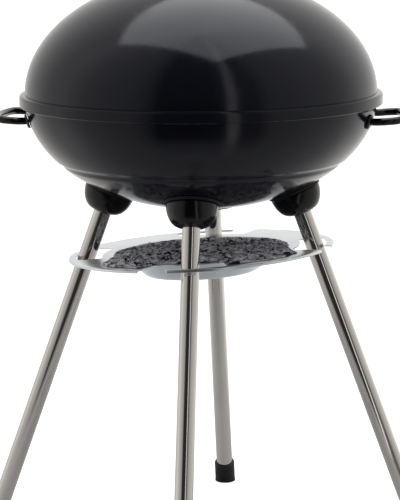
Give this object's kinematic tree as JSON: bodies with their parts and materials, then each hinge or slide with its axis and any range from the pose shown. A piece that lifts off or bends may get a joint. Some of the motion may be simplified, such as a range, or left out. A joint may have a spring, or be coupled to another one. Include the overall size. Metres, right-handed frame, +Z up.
{
  "type": "kettle charcoal grill",
  "caption": "Kettle charcoal grill: black enamel bowl and lid on splayed steel tube legs, with an ash tray of loose ash hung between them.",
  "frame": {"origin": "on the ground, on the bowl's axis, at the middle of the bounding box", "axes": "+Z up; the legs stand on -Y (front), +X (right), +Y (back) and -X (left)"},
  "size_m": [0.7544, 0.7544, 0.9758],
  "materials": {
    "enamel": "high gloss black",
    "plastic": "satin black",
    "stainless": "polished tube",
    "galvanised": "satin galvanised",
    "plated_wire": "plated wire",
    "zinc": "zinc plated",
    "rubber": "matt",
    "ash": "loose dusty charcoal ash"
  },
  "bodies": {
    "stand": {"bowl": "enamel", "leg_socket_front": "plastic", "leg_socket_right": "plastic", "leg_socket_back": "plastic", "leg_socket_left": "plastic", "socket_gasket_front": "rubber", "socket_gasket_right": "rubber", "socket_gasket_back": "rubber", "socket_gasket_left": "rubber", "leg_bolt_front": "zinc", "leg_bolt_right": "zinc", "leg_bolt_back": "zinc", "leg_bolt_left": "zinc", "leg_tube_front": "stainless", "leg_tube_right": "stainless", "leg_tube_back": "stainless", "leg_tube_left": "stainless", "foot_cap_front": "rubber", "foot_cap_right": "rubber", "foot_cap_back": "rubber", "foot_cap_left": "rubber", "side_handle_right": "plastic", "side_handle_left": "plastic", "side_handle_screw_1": "zinc", "side_handle_screw_2": "zinc", "side_handle_screw_3": "zinc", "side_handle_screw_4": "zinc", "grate_bracket_1": "zinc", "grate_bracket_2": "zinc", "grate_bracket_3": "zinc", "grate_bracket_4": "zinc", "damper_pivot_bolt": "zinc"},
    "lid": {"lid": "enamel", "lid_handle": "plastic", "lid_handle_screw_1": "zinc", "lid_handle_screw_2": "zinc", "lid_damper_rivet": "zinc"},
    "lid_damper": {"lid_damper": "galvanised"},
    "bottom_damper": {"bottom_damper": "enamel"},
    "cooking_grate": {"cooking_grate": "plated_wire"},
    "charcoal_grate": {"charcoal_grate": "zinc"},
    "ash_tray": {"ash_tray": "galvanised", "ash_heap": "ash"}
  },
  "joints": [
    {"name": "lid_lift", "type": "slide", "parent": "stand", "child": "lid", "axis": [0, 0, 1], "range_m": [0, 0.25]},
    {"name": "lid_damper_turn", "type": "hinge", "parent": "lid", "child": "lid_damper", "pos_m": [0, 0.118, 0.90154], "axis": [0, 0.3022, 0.9532], "range_deg": [0, 45]},
    {"name": "bottom_damper_turn", "type": "hinge", "parent": "stand", "child": "bottom_damper", "pos_m": [0, 0, 0.549], "axis": [0, 0, 1], "range_deg": [0, 45]},
    {"name": "cooking_grate_lift", "type": "slide", "parent": "stand", "child": "cooking_grate", "axis": [0, 0, 1], "range_m": [0, 0.045]},
    {"name": "charcoal_grate_lift", "type": "slide", "parent": "stand", "child": "charcoal_grate", "axis": [0, 0, 1], "range_m": [0, 0.06]},
    {"name": "ash_tray_turn", "type": "hinge", "parent": "stand", "child": "ash_tray", "pos_m": [-0.002, 0, 0.4851], "axis": [-0.0593, 0.0262, 0.9979], "range_deg": [0, 14.5]}
  ]
}
